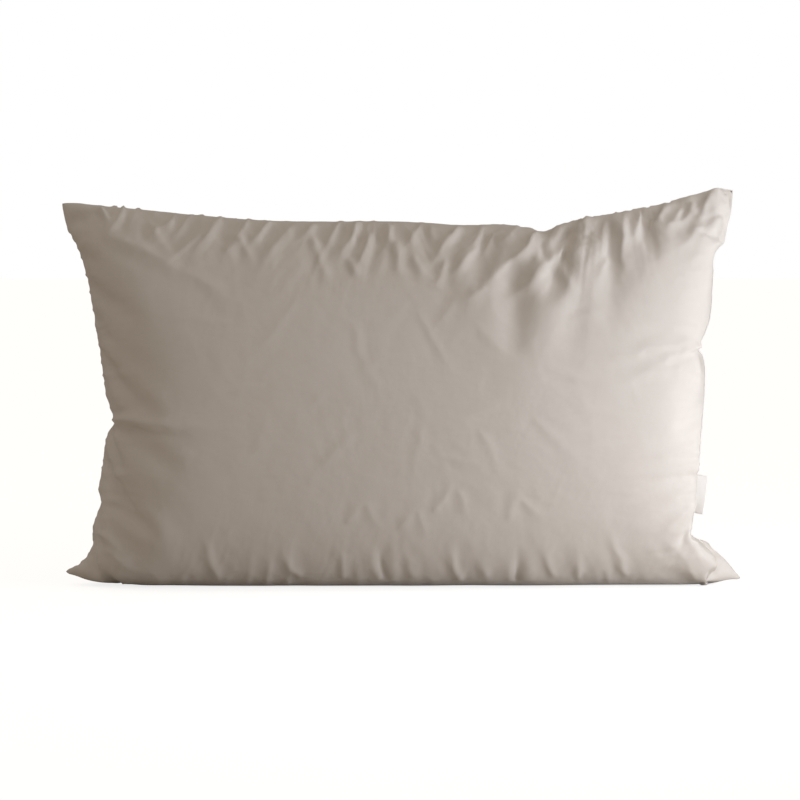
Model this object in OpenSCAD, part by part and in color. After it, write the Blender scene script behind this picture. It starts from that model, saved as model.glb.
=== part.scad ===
// Bed pillow standing on one long edge.
// Two cotton panels are sewn face to face and turned right side out, so the
// seam allowance lies inside.  Its raw edge is overlocked, the filling is put
// in through an opening in the lower seam, and that opening is stitched last.
// A folded tape label is caught in one side seam and can flip to and fro.
// Frame: +Z up, X along the long side, the front panel faces -Y, and the
// origin is the middle of the base on the resting plane.  Millimetres.

/* [Pillow] */
// Overall width of the filled pillow, from corner ear to corner ear
pillow_w = 774; // [640:1:900]
// Overall height of the filled pillow as it stands
pillow_h = 453; // [400:1:520]
// Thickness of the filled pillow at its fullest point
loft = 215; // [160:1:240]
// How far the full cloth settles towards the resting plane near the base
settle = 12; // [10:0.5:14]

/* [Cloth and thread] */
// Thickness of the casing cloth
cloth_t = 0.6; // [0.4:0.05:0.8]
// Width of the seam allowance turned to the inside
allowance = 10; // [8:0.5:11]
// Diameter of the sewing thread
thread_d = 0.5; // [0.3:0.05:0.5]
// Thickness of the overlock thread wrapped round the raw edge
overlock_t = 0.5; // [0.3:0.05:0.6]
// Depth of the overlock stitches from the raw edge
overlock_w = 4; // [3:0.5:5]
// Length of the filling opening in the lower seam
opening_l = 180; // [120:10:240]

/* [Label] */
// Length of the label along the side seam
label_l = 44; // [30:1:50]
// How far the folded label stands out of the seam
label_out = 12; // [8:1:18]
// Thickness of the folded label
label_t = 0.9; // [0.8:0.05:1]

/* [Hidden] */

// Scale of the outline against its drawn size of 774 by 453.
sx = pillow_w / 774;
sz = pillow_h / 453;

// Seam line of the filled pillow seen from the front, drawn by hand.
// Side seams: height, then distance from the middle.
left_pts = [[18, -387], [25, -373], [34, -363], [46, -356], [60, -356],
    [82, -350], [98, -346], [112, -348], [132, -345], [160, -341],
    [176, -337], [187, -330], [205, -335], [224, -340], [260, -345],
    [292, -350], [324, -355], [350, -360], [370, -365], [388, -372],
    [406, -382], [420, -386], [434, -387]];
right_pts = [[10, 387], [18, 380], [30, 369], [41, 356], [49, 345],
    [57, 329], [66, 328], [75, 331], [145, 337], [180, 340], [223, 343],
    [260, 342], [271, 335], [286, 342], [309, 349], [337, 351], [369, 352],
    [382, 356], [394, 364], [412, 369], [431, 373], [450, 373]];
// Upper and lower seams: distance from the middle, then height.
top_pts = [[-387, 434], [-374, 436], [-346, 433], [-300, 429], [-232, 422],
    [-141, 415], [-5, 415], [65, 411], [110, 412], [140, 408], [158, 404],
    [178, 411], [202, 418], [246, 426], [292, 435], [315, 442], [338, 448],
    [356, 453], [373, 450]];
base_pts = [[-387, 18], [-372, 11], [-354, 6], [-320, 4], [-260, 3],
    [300, 3], [335, 4], [360, 7], [387, 10]];

// Seam lines as functions of 0..1 along each side.
function side_l(v) = let(z = 18 + v * 416) [lookup(z, left_pts), z];
function side_r(v) = let(z = 10 + v * 440) [lookup(z, right_pts), z];
function side_t(u) = let(x = -387 + u * 760) [x, lookup(x, top_pts)];
function side_b(u) = let(x = -387 + u * 774) [x, lookup(x, base_pts)];
// Point of the flat seam plane at u across and v up, blended from the sides.
function flat(u, v) =
    let(p = (1 - v) * side_b(u) + v * side_t(u)
          + (1 - u) * side_l(v) + u * side_r(v)
          - (1 - u) * (1 - v) * side_b(0) - u * (1 - v) * side_b(1)
          - (1 - u) * v * side_t(0) - u * v * side_t(1))
    [p[0] * sx, p[1] * sz];
// The same point moved e inwards from the seam line.
function inset(u, v, e) =
    let(w = (side_r(v)[0] - side_l(v)[0]) * sx, h = (side_t(u)[1] - side_b(u)[1]) * sz)
    flat(u + (1 - 2 * u) * e / w, v + (1 - 2 * v) * e / h);

// Fullness of the filled casing: blunt sides, a blunt base, a softer top.
function full_u(u) = pow(max(0, 1 - pow(abs(2 * u - 1), 2.4)), 0.3);
function full_v(v) = let(b = 2 * pow(v, 0.9) - 1)
    b < 0 ? pow(max(0, 1 - pow(-b, 2.6)), 0.33) : pow(max(0, 1 - pow(b, 2.2)), 0.5);
function depth(u, v) = (loft / 2 - 0.1) * full_u(u) * full_v(v);
// Outer face of a panel, as a distance from the seam plane.
function skin(u, v) =
    let(p = flat(u, v), d = depth(u, v))
    [p[0], 0.1 + d, max(0, p[1] - settle * exp(-p[1] / 16) * min(1, d / 10))];
function unit(a) = a / norm(a);
// Outward direction of the skin.
function out_dir(u, v) =
    let(a = skin(u + 0.002, v) - skin(u - 0.002, v),
        b = skin(u, v + 0.003) - skin(u, max(0, v - 0.003)))
    unit(cross(b, a));
// The skin moved e inwards along its own direction.
function under(u, v, e) = let(p = skin(u, v) - out_dir(u, v) * e) [p[0], p[1], max(e, p[2])];

// Grid lines, closer together near the seams.
us = concat([0, 0.006, 0.02, 0.042], [for (i = [0:32]) 0.07 + 0.86 * i / 32], [0.958, 0.98, 0.994, 1]);
vs = concat([0, 0.0001, 0.004, 0.0105, 0.042], [for (i = [0:22]) 0.07 + 0.86 * i / 22], [0.966, 0.9895, 1]);
nu = len(us) - 1;
nv = len(vs) - 1;
// Grid lines at the lower, side and upper edges that the filling stays inside of.
low_k = 4;
side_k = 2;
top_k = 2;

// Label: centre height, and the seam's lean there.
label_z = 105;
label_x = 331 + (label_z - 75) * 6 / 70;
label_lean = atan(6 / 70 * sx / sz);
// Half the gap between the two seam allowances, wider round the label.
function half_gap(u, v) = (u == 1 && v > 0.14 && v < 0.31) ? label_t / 2 + 0.05 : 0.1;
groove = thread_d / 2 + 0.05;

// Round the outline, anticlockwise seen from the front.
round_uv = concat([for (i = [0:nu - 1]) [us[i], 0]], [for (j = [0:nv - 1]) [1, vs[j]]],
    [for (i = [nu:-1:1]) [us[i], 1]], [for (j = [nv:-1:1]) [0, vs[j]]]);
nr = len(round_uv);
// Index on the outline of the grid point i, j.
function rim(i, j) = j == 0 && i < nu ? i : i == nu && j < nv ? nu + j
    : j == nv && i > 0 ? nu + nv + (nu - i) : 2 * nu + nv + (nv - j);

// A ring round the outline at e inside the seam line, y out from the allowance.
function ring(e, y) = [for (q = round_uv)
    let(p = inset(q[0], q[1], e), g = half_gap(q[0], q[1]))
    [p[0], y == "groove" ? max(g, groove) : g + y, p[1]]];

// The back panel: outer skin, the allowance folded to the inside, inner skin.
// The front panel is its mirror image.
module panel() {
    n = (nu + 1) * (nv + 1);
    outer = [for (i = [0:nu]) for (j = [0:nv])
        (i == 0 || j == 0 || i == nu || j == nv)
        ? let(p = flat(us[i], vs[j])) [p[0], half_gap(us[i], vs[j]), p[1]]
        : skin(us[i], vs[j])];
    inner = [for (i = [0:nu]) for (j = [0:nv])
        (i == 0 || j == 0 || i == nu || j == nv)
        ? let(p = inset(us[i], vs[j], 1.1)) [p[0], half_gap(us[i], vs[j]) + cloth_t, p[1]]
        : under(us[i], vs[j], cloth_t)];
    rings = [ring(0.7, 0), ring(0.8, "groove"), ring(1.8, "groove"), ring(1.9, 0),
        ring(allowance, 0), ring(allowance, cloth_t)];
    pts = concat(outer, inner, [for (r = rings) for (p = r) p]);
    function o(i, j) = i * (nv + 1) + j;
    // Outline index k of the outer grid, the inner grid and each ring.
    border = concat([for (i = [0:nu - 1]) o(i, 0)], [for (j = [0:nv - 1]) o(nu, j)],
        [for (i = [nu:-1:1]) o(i, nv)], [for (j = [nv:-1:1]) o(0, j)]);
    loops = concat([border], [for (r = [0:len(rings) - 1]) [for (k = [0:nr - 1]) 2 * n + r * nr + k]],
        [[for (k = border) k + n]]);
    skin_f = [for (i = [0:nu - 1]) for (j = [0:nv - 1])
        each [[o(i, j), o(i, j + 1), o(i + 1, j + 1)], [o(i, j), o(i + 1, j + 1), o(i + 1, j)]]];
    inner_f = [for (f = skin_f) [f[2] + n, f[1] + n, f[0] + n]];
    loop_f = [for (l = [0:len(loops) - 2]) for (k = [0:nr - 1])
        let(m = (k + 1) % nr, a = loops[l], b = loops[l + 1])
        each [[a[k], a[m], b[m]], [a[k], b[m], b[k]]]];
    faces = concat(skin_f, inner_f, loop_f);
    polyhedron(pts, [for (f = faces) [f[2], f[1], f[0]]], convexity = 8);
}

module front_panel() color([0.86, 0.83, 0.78]) mirror([0, 1, 0]) panel();
module back_panel() color([0.84, 0.81, 0.76]) panel();

// Feather and down filling, one soft mass that follows the inside of the cloth.
module fill() {
    mu = nu - 2 * side_k;
    mv = nv - low_k - top_k;
    gap = cloth_t + 0.5;
    n = (mu + 1) * (mv + 1);
    front = [for (i = [side_k:nu - side_k]) for (j = [low_k:nv - top_k]) let(p = under(us[i], vs[j], gap)) [p[0], -p[1], p[2]]];
    back = [for (p = front) [p[0], -p[1], p[2]]];
    function o(i, j) = i * (mv + 1) + j;
    border = concat([for (i = [0:mu - 1]) o(i, 0)], [for (j = [0:mv - 1]) o(mu, j)],
        [for (i = [mu:-1:1]) o(i, mv)], [for (j = [mv:-1:1]) o(0, j)]);
    f1 = [for (i = [0:mu - 1]) for (j = [0:mv - 1])
        each [[o(i, j), o(i, j + 1), o(i + 1, j + 1)], [o(i, j), o(i + 1, j + 1), o(i + 1, j)]]];
    f2 = [for (f = f1) [f[2] + n, f[1] + n, f[0] + n]];
    m = len(border);
    f3 = [for (q = [0:m - 1]) let(r = (q + 1) % m)
        each [[border[q], border[r], border[r] + n], [border[q], border[r] + n, border[q] + n]]];
    color([0.95, 0.94, 0.92])
        polyhedron(concat(front, back), concat(f1, f2, f3), convexity = 6);
}

// A section of (inset, y) points swept along a list of outline positions.
module swept(section, path, closed, widen) {
    s = len(section);
    m = len(path);
    pts = [for (q = path) for (c = section)
        let(p = inset(q[0], q[1], c[0]), g = widen ? half_gap(q[0], q[1]) : 0)
        [p[0], c[1] + sign(c[1]) * g, p[1]]];
    last = closed ? m - 1 : m - 2;
    walls = [for (q = [0:last]) for (c = [0:s - 1])
        let(r = (q + 1) % m, d = (c + 1) % s)
        each [[q * s + c, q * s + d, r * s + d], [q * s + c, r * s + d, r * s + c]]];
    caps = closed ? [] : [[for (c = [s - 1:-1:0]) c], [for (c = [0:s - 1]) (m - 1) * s + c]];
    polyhedron(pts, concat(walls, caps), convexity = 8);
}

// Thread section, in the groove between the two allowances.
thread_sec = [for (a = [0:45:315]) [1.3 + thread_d / 2 * cos(a), thread_d / 2 * sin(a)]];
// Ends of the filling opening along the lower seam.
open_a = 0.5 - opening_l / 2 / 774;
open_b = 0.5 + opening_l / 2 / 774;

// Lockstitch round the casing, from one end of the opening to the other.
module seam_thread() {
    path = concat([[open_b, 0]], [for (u = us) if (u > open_b + 0.002 && u < 1) [u, 0]],
        [for (j = [0:nv - 1]) [1, vs[j]]], [for (i = [nu:-1:1]) [us[i], 1]],
        [for (j = [nv:-1:1]) [0, vs[j]]], [for (u = us) if (u < open_a - 0.002) [u, 0]], [[open_a, 0]]);
    color([0.90, 0.88, 0.84]) swept(thread_sec, path, false, false);
}

// Stitching that closes the filling opening.
module closing_stitch() {
    path = concat([[open_a + 0.001, 0]], [for (u = us) if (u > open_a + 0.003 && u < open_b - 0.003) [u, 0]],
        [[open_b - 0.001, 0]]);
    color([0.92, 0.90, 0.86]) swept(thread_sec, path, false, false);
}

// Overlock stitching wrapped over the raw edge of both allowances.
module overlock_thread() {
    a = allowance - overlock_w;
    b = allowance + 0.1;
    y = cloth_t + 0.1;
    sec = [[a, -y - overlock_t], [b + overlock_t, -y - overlock_t], [b + overlock_t, y + overlock_t],
        [a, y + overlock_t], [a, y], [b, y], [b, -y], [a, -y]];
    color([0.93, 0.91, 0.87]) swept(sec, round_uv, true, true);
}

// Frame of the label: origin on the seam line, X outwards, Z along the seam.
module at_label() translate([label_x * sx, 0, label_z * sz]) rotate([0, label_lean, 0]) children();

// Part of the label held between the allowances, open where the seam passes.
module label_tail() color([0.95, 0.94, 0.92]) at_label() difference() {
    translate([-allowance + 0.6, -label_t / 2, -label_l / 2]) cube([allowance - 0.7, label_t, label_l]);
    translate([-2.3, -label_t / 2 + 0.14, -label_l]) cube([1.9, label_t - 0.28, 2 * label_l]);
}

// Free part of the label: two plies folded at the outer edge, round at the
// inner edge where it turns.
module label_flap() color([0.95, 0.94, 0.92]) at_label() {
    r = label_t / 2;
    translate([r + 0.3, -r, -label_l / 2]) cube([label_out - label_t - 0.3, label_t, label_l]);
    for (x = [r + 0.3, label_out - r])
        translate([x, 0, -label_l / 2]) cylinder(r = r, h = label_l, $fn = 32);
}

front_panel();
back_panel();
fill();
seam_thread();
overlock_thread();
closing_stitch();
label_tail();
label_flap();
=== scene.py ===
"""Bed pillow, standing on its long edge: cotton casing, seam, label, filling.

The casing is a cloth simulation: two rectangles of cloth, 800 x 500 mm, joined
along their edges, blown out by the filling and pulled to the seam line of the
CAD model.  Everything is in metres, in the CAD frame.
"""
import math

import bpy
import numpy as np
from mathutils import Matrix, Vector


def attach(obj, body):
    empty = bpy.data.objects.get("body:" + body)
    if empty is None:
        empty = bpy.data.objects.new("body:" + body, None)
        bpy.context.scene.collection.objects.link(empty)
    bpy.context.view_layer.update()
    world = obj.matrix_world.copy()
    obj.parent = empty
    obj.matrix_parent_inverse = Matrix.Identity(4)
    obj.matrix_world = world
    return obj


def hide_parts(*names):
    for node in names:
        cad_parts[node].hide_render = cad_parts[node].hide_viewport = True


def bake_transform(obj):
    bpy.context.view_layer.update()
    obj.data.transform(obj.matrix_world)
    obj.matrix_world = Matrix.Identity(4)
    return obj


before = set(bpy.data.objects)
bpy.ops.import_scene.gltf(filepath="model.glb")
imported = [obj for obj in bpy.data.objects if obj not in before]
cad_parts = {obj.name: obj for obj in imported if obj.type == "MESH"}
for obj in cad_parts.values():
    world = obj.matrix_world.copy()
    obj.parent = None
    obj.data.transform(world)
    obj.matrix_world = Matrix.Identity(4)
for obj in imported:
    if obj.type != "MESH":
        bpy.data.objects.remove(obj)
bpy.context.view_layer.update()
F = np.float32

# ------------------------------------------------------------------ sizes
FLAT_W, FLAT_H = 0.800, 0.500        # each panel inside its seams
ALLOW = 0.010                        # seam allowance turned inside
CLOTH = 0.00035                      # drawn thickness of the cloth

# Seam line of the filled pillow, the same points as in part.scad (mm).
LEFT = [(18, -387), (25, -373), (34, -363), (46, -356), (60, -356), (82, -350), (98, -346), (112, -348),
        (132, -345), (160, -341), (176, -337), (187, -330), (205, -335), (224, -340), (260, -345),
        (292, -350), (324, -355), (350, -360), (370, -365), (388, -372), (406, -382), (420, -386), (434, -387)]
RIGHT = [(10, 387), (18, 380), (30, 369), (41, 356), (49, 345), (57, 329), (66, 328), (75, 331), (145, 337),
         (180, 340), (223, 343), (260, 342), (271, 335), (286, 342), (309, 349), (337, 351), (369, 352),
         (382, 356), (394, 364), (412, 369), (431, 373), (450, 373)]
TOP = [(-387, 434), (-374, 436), (-346, 433), (-300, 429), (-232, 422), (-141, 415), (-5, 415), (65, 411),
       (110, 412), (140, 408), (158, 404), (178, 411), (202, 418), (246, 426), (292, 435), (315, 442),
       (338, 448), (356, 453), (373, 450)]
BASE = [(-387, 18), (-372, 11), (-354, 6), (-320, 4), (-260, 3), (300, 3), (335, 4), (360, 7), (387, 10)]


def even(points, n):
    """A smooth line through points, resampled to n + 1 points an equal length apart."""
    P = np.array(points, float) / 1000
    Q = np.vstack([2 * P[0] - P[1], P, 2 * P[-1] - P[-2]])
    t = np.linspace(0, 1, 12, endpoint=False)[:, None]
    out = []
    for i in range(1, len(Q) - 2):
        a, b, c, d = Q[i - 1], Q[i], Q[i + 1], Q[i + 2]
        out.append(0.5 * (2 * b + (c - a) * t + (2 * a - 5 * b + 4 * c - d) * t * t + (3 * b - a - 3 * c + d) * t ** 3))
    out = np.vstack(out + [P[-1:]])
    s = np.r_[0, np.cumsum(np.linalg.norm(np.diff(out, axis=0), axis=1))]
    k = np.linspace(0, s[-1], n + 1)
    return np.c_[np.interp(k, s, out[:, 0]), np.interp(k, s, out[:, 1])]


# Gathers along the upper seam lean to the right: its cloth has slid that way.
TOP_SLIDE = 0.024


def seam_plane(nx, nz):
    """Where each grid point of the casing would lie in the plane of the seams."""
    left = even([(x, z) for z, x in LEFT], nz)
    right = even([(x, z) for z, x in RIGHT], nz)
    top, base = even(TOP, nx), even(BASE, nx)
    u = np.linspace(0, 1, nx + 1)
    slide = u + TOP_SLIDE * np.exp(-((u - 0.6) / 0.3) ** 2) * np.sin(np.pi * u) ** 0.5
    top = np.c_[np.interp(slide, u, top[:, 0]), np.interp(slide, u, top[:, 1])]
    u, v = u[:, None, None], np.linspace(0, 1, nz + 1)[None, :, None]
    return ((1 - v) * base[:, None] + v * top[:, None] + (1 - u) * left[None] + u * right[None]
            - ((1 - u) * (1 - v) * base[0] + u * (1 - v) * base[-1] + (1 - u) * v * top[0] + u * v * top[-1]))


def finer(Y, n, ax):
    """Y resampled smoothly to n + 1 points along an axis."""
    m = Y.shape[ax] - 1
    Y = np.moveaxis(Y, ax, -1)
    t = np.linspace(0, m, n + 1)
    i = np.minimum(t.astype(int), m - 1)
    f = t - i
    e = np.concatenate([2 * Y[..., :1] - Y[..., 1:2], Y, 2 * Y[..., -1:] - Y[..., -2:-1]], -1)
    a, b, c, d = e[..., i], e[..., i + 1], e[..., i + 2], e[..., i + 3]
    r = 0.5 * (2 * b + (c - a) * f + (2 * a - 5 * b + 4 * c - d) * f * f + (3 * b - a - 3 * c + d) * f ** 3)
    return np.moveaxis(r, -1, ax)


def patches(rng, nx, nz, cell):
    """Smooth noise of unit size over the casing, with features about cell metres across."""
    g = rng.normal(0, 1, (max(4, int(FLAT_W / cell) + 3), max(4, int(FLAT_H / cell) + 3)))
    return finer(finer(g, nx, 0), nz, 1)


# ------------------------------------------------------------ the filling
def crease(u, v, p, q, w):
    """1 along the line from p to q in (u, v), fading towards q and over w metres to each side."""
    x, z = (u - p[0]) * FLAT_W, (v - p[1]) * FLAT_H
    dx, dz = (q[0] - p[0]) * FLAT_W, (q[1] - p[1]) * FLAT_H
    t = np.clip((x * dx + z * dz) / (dx * dx + dz * dz), 0, 1)
    return np.exp(-((x - t * dx) ** 2 + (z - t * dz) ** 2) / (w * w)) * (1 - t)


def fullness(u, v):
    """Thickness that the filling would like to have at each point of the cloth."""
    s = np.minimum(u, 1 - u) * FLAT_W
    fu = np.sin(np.minimum(s / 0.105, 1) * np.pi / 2) ** 0.9
    b = 2 * v ** 0.93 - 1
    fv = np.where(b < 0, np.maximum(1 - np.abs(b) ** 3.0, 0) ** 0.42, np.maximum(1 - np.abs(b) ** 2.6, 0) ** 0.45)
    h = 0.235 * fu * fv
    h = h * (1 - 0.45 * crease(u, v, (0.0, 0.40), (0.17, 0.385), 0.014))
    h = h * (1 - 0.45 * crease(u, v, (1.0, 0.60), (0.86, 0.57), 0.014))
    h = h * (1 - 0.2 * crease(u, v, (0.715, 1.0), (0.64, 0.88), 0.016))
    return h + 0.002


# --------------------------------------------------------- the simulation
# X has the shape (3, 2, nx + 1, nz + 1): axis, panel (0 front, 1 back), across, up.
ALL = slice(None)
EDGES = ((0, ALL), (-1, ALL), (ALL, 0), (ALL, -1))


def pairs(nx, nz):
    """Slices of neighbours, in sets where no point is in two pairs."""
    out = []
    for c in (0, 1):
        n = (nx - c + 1) // 2
        out.append(("x", (ALL, ALL, slice(c, min(c + 2 * n, nx + 1), 2), ALL), (ALL, ALL, slice(c + 1, c + 1 + 2 * n, 2), ALL)))
    for c in (0, 1):
        n = (nz - c + 1) // 2
        out.append(("z", (ALL, ALL, ALL, slice(c, min(c + 2 * n, nz + 1), 2)), (ALL, ALL, ALL, slice(c + 1, c + 1 + 2 * n, 2))))
    for up in (0, 1):
        for c in (0, 1):
            n = (nx - c + 1) // 2
            lo, hi = slice(0, nz), slice(1, nz + 1)
            out.append(("d", (ALL, ALL, slice(c, min(c + 2 * n, nx), 2), hi if up else lo),
                        (ALL, ALL, slice(c + 1, c + 1 + 2 * n, 2), lo if up else hi)))
    fixed = []
    for kind, A, B in out:
        # both sides of a set have the same number of points
        na = len(range(*A[2].indices(nx + 1))); nb = len(range(*B[2].indices(nx + 1)))
        if na > nb:
            A = (A[0], A[1], slice(A[2].start, A[2].stop - 2, 2), A[3])
        ma = len(range(*A[3].indices(nz + 1))); mb = len(range(*B[3].indices(nz + 1)))
        if ma > mb:
            A = (A[0], A[1], A[2], slice(A[3].start, A[3].stop - 2, 2))
        fixed.append((kind, A, B))
    return fixed


def pull(X, A, B, L2, k, kc):
    """Moves each pair towards its own length; kc is how well the cloth resists being pushed together."""
    a, b = X[A], X[B]
    d = b - a
    l2 = d[0] * d[0]
    l2 += d[1] * d[1]
    l2 += d[2] * d[2]
    s = (0.5 - L2 / (l2 + L2)) * k
    if kc < 1:
        s = np.maximum(s, s * kc)
    d *= s
    a += d
    b -= d


def area_normals(X):
    dx, dz = np.empty_like(X), np.empty_like(X)
    dx[:, :, 1:-1] = (X[:, :, 2:] - X[:, :, :-2]) * F(0.5)
    dx[:, :, 0], dx[:, :, -1] = X[:, :, 1] - X[:, :, 0], X[:, :, -1] - X[:, :, -2]
    dz[:, :, :, 1:-1] = (X[:, :, :, 2:] - X[:, :, :, :-2]) * F(0.5)
    dz[:, :, :, 0], dz[:, :, :, -1] = X[:, :, :, 1] - X[:, :, :, 0], X[:, :, :, -1] - X[:, :, :, -2]
    n = np.empty_like(X)
    n[0] = dx[1] * dz[2] - dx[2] * dz[1]
    n[1] = dx[2] * dz[0] - dx[0] * dz[2]
    n[2] = dx[0] * dz[1] - dx[1] * dz[0]
    n[:, 1] *= -1
    return n


def soften(a, k, ax):
    """Bending stiffness: evens out a line of points along an axis."""
    a = np.moveaxis(a, ax, -1)
    l = (a[..., :-2] - 2 * a[..., 1:-1] + a[..., 2:]) * F(k)
    a[..., 1:-1] += 2 * l
    a[..., :-2] -= l
    a[..., 2:] -= l


def settle(X, nx, nz, steps, push, bend, solid, hold, loose_y, noise=(), slack=0.0):
    hx, hz = FLAT_W / nx, FLAT_H / nz
    u, v = np.linspace(0, 1, nx + 1)[:, None], np.linspace(0, 1, nz + 1)[None, :]
    rng = np.random.default_rng(20 + nx)
    h0 = (fullness(u, v)).astype(F)
    goal = seam_plane(nx, nz).astype(F)
    edge_near = np.minimum(np.minimum(u, 1 - u) * FLAT_W, np.minimum(v, 1 - v) * FLAT_H)
    for amp, cell in noise:
        for p in (0, 1):
            X[1, p] += (amp * patches(rng, nx, nz, cell) * np.minimum(1, edge_near / 0.01)).astype(F)
    # cloth that has crept or puckered is a little longer or shorter from place to place
    sets = []
    base2 = {"x": hx * hx, "z": hz * hz, "d": hx * hx + hz * hz}
    vary = {}
    if slack:
        near = np.exp(-edge_near / 0.07)
        vary = {k: np.stack([1 + slack * near * patches(rng, nx, nz, 0.035) for _ in (0, 1)]) for k in "xz"}
        vary["d"] = 0.5 * (vary["x"] + vary["z"])
    for kind, A, B in pairs(nx, nz):
        k = 0.3 if kind == "d" else 1.0
        L2 = F(base2[kind])
        if slack:
            L2 = (base2[kind] * vary[kind][A[1:]] ** 2).astype(F)
        sets.append((A, B, L2, F(k)))
    # the label's stretch of the side seam stays straight and in the plane
    zr = goal[-1, :, 1]
    label = np.clip(np.minimum((zr - 0.060) / 0.012, (0.150 - zr) / 0.012), 0, 1).astype(F)
    V = np.zeros_like(X)
    push, hold, solid, keep_y = F(push), F(hold), F(solid), F(1 - loose_y)
    for n in range(steps):
        if n % 2 == 0:
            N = area_normals(X) / F(hx * hz)
            press = np.clip(1 - (X[1, 1] - X[1, 0]) / h0, -0.3, 1).astype(F) * push
        old = X.copy()
        X += V * F(0.97)
        X += press[None, None] * N
        X[2] -= F(0.03) * push
        for A, B, L2, k in sets:
            pull(X, A, B, L2, k, solid)
        for e in EDGES:
            m = 0.5 * (X[:, 0][(ALL,) + e] + X[:, 1][(ALL,) + e])
            X[:, 0][(ALL,) + e] = m
            X[:, 1][(ALL,) + e] = m
        soften(X, bend, 2)
        soften(X, bend, 3)
        near = np.minimum((X[1, 1] - X[1, 0] - F(0.002))[1:-1, 1:-1], 0) * F(0.5)
        X[1, 0, 1:-1, 1:-1] += near
        X[1, 1, 1:-1, 1:-1] -= near
        for e in EDGES:
            for p in (0, 1):
                X[0, p][e] += hold * (goal[e][..., 0] - X[0, p][e])
                X[2, p][e] += hold * (goal[e][..., 1] - X[2, p][e])
                X[1, p][e] *= keep_y
        for p in (0, 1):
            X[0, p][-1] += label * F(0.3) * (goal[-1, :, 0] - X[0, p][-1])
            X[2, p][-1] += label * F(0.3) * (goal[-1, :, 1] - X[2, p][-1])
            X[1, p][-1] *= 1 - label * F(0.3)
        low = X[2] < 0
        X[2][low] = 0
        for a in (0, 1):
            X[a][low] = 0.5 * (X[a][low] + old[a][low])
        V = X - old
    return X


def simulate():
    levels = [
        dict(nx=40, nz=25, steps=1000, push=6e-6, bend=0.02, solid=0.0, hold=0.05, loose_y=0.3),
        dict(nx=88, nz=55, steps=800, push=2e-6, bend=0.01, solid=0.0, hold=0.05, loose_y=0.3),
        dict(nx=176, nz=110, steps=700, push=3e-6, bend=0.003, solid=1.0, hold=0.08, loose_y=0.15,
             noise=((0.001, 0.012),), slack=0.008),
    ]
    X = None
    for lv in levels:
        nx, nz = lv["nx"], lv["nz"]
        if X is None:
            P = seam_plane(nx, nz)
            u, v = np.linspace(0, 1, nx + 1)[:, None], np.linspace(0, 1, nz + 1)[None, :]
            y = 0.4 * fullness(u, v)
            for e in EDGES:
                y[e] = 0
            X = np.empty((3, 2, nx + 1, nz + 1), F)
            X[0], X[2], X[1, 0], X[1, 1] = P[None, ..., 0], P[None, ..., 1], -y, y
        else:
            X = finer(finer(X, nx, 2), nz, 3).astype(F)
        X = settle(X, **lv)
    return finer(finer(X.astype(float), 320, 2), 200, 3)


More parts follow.
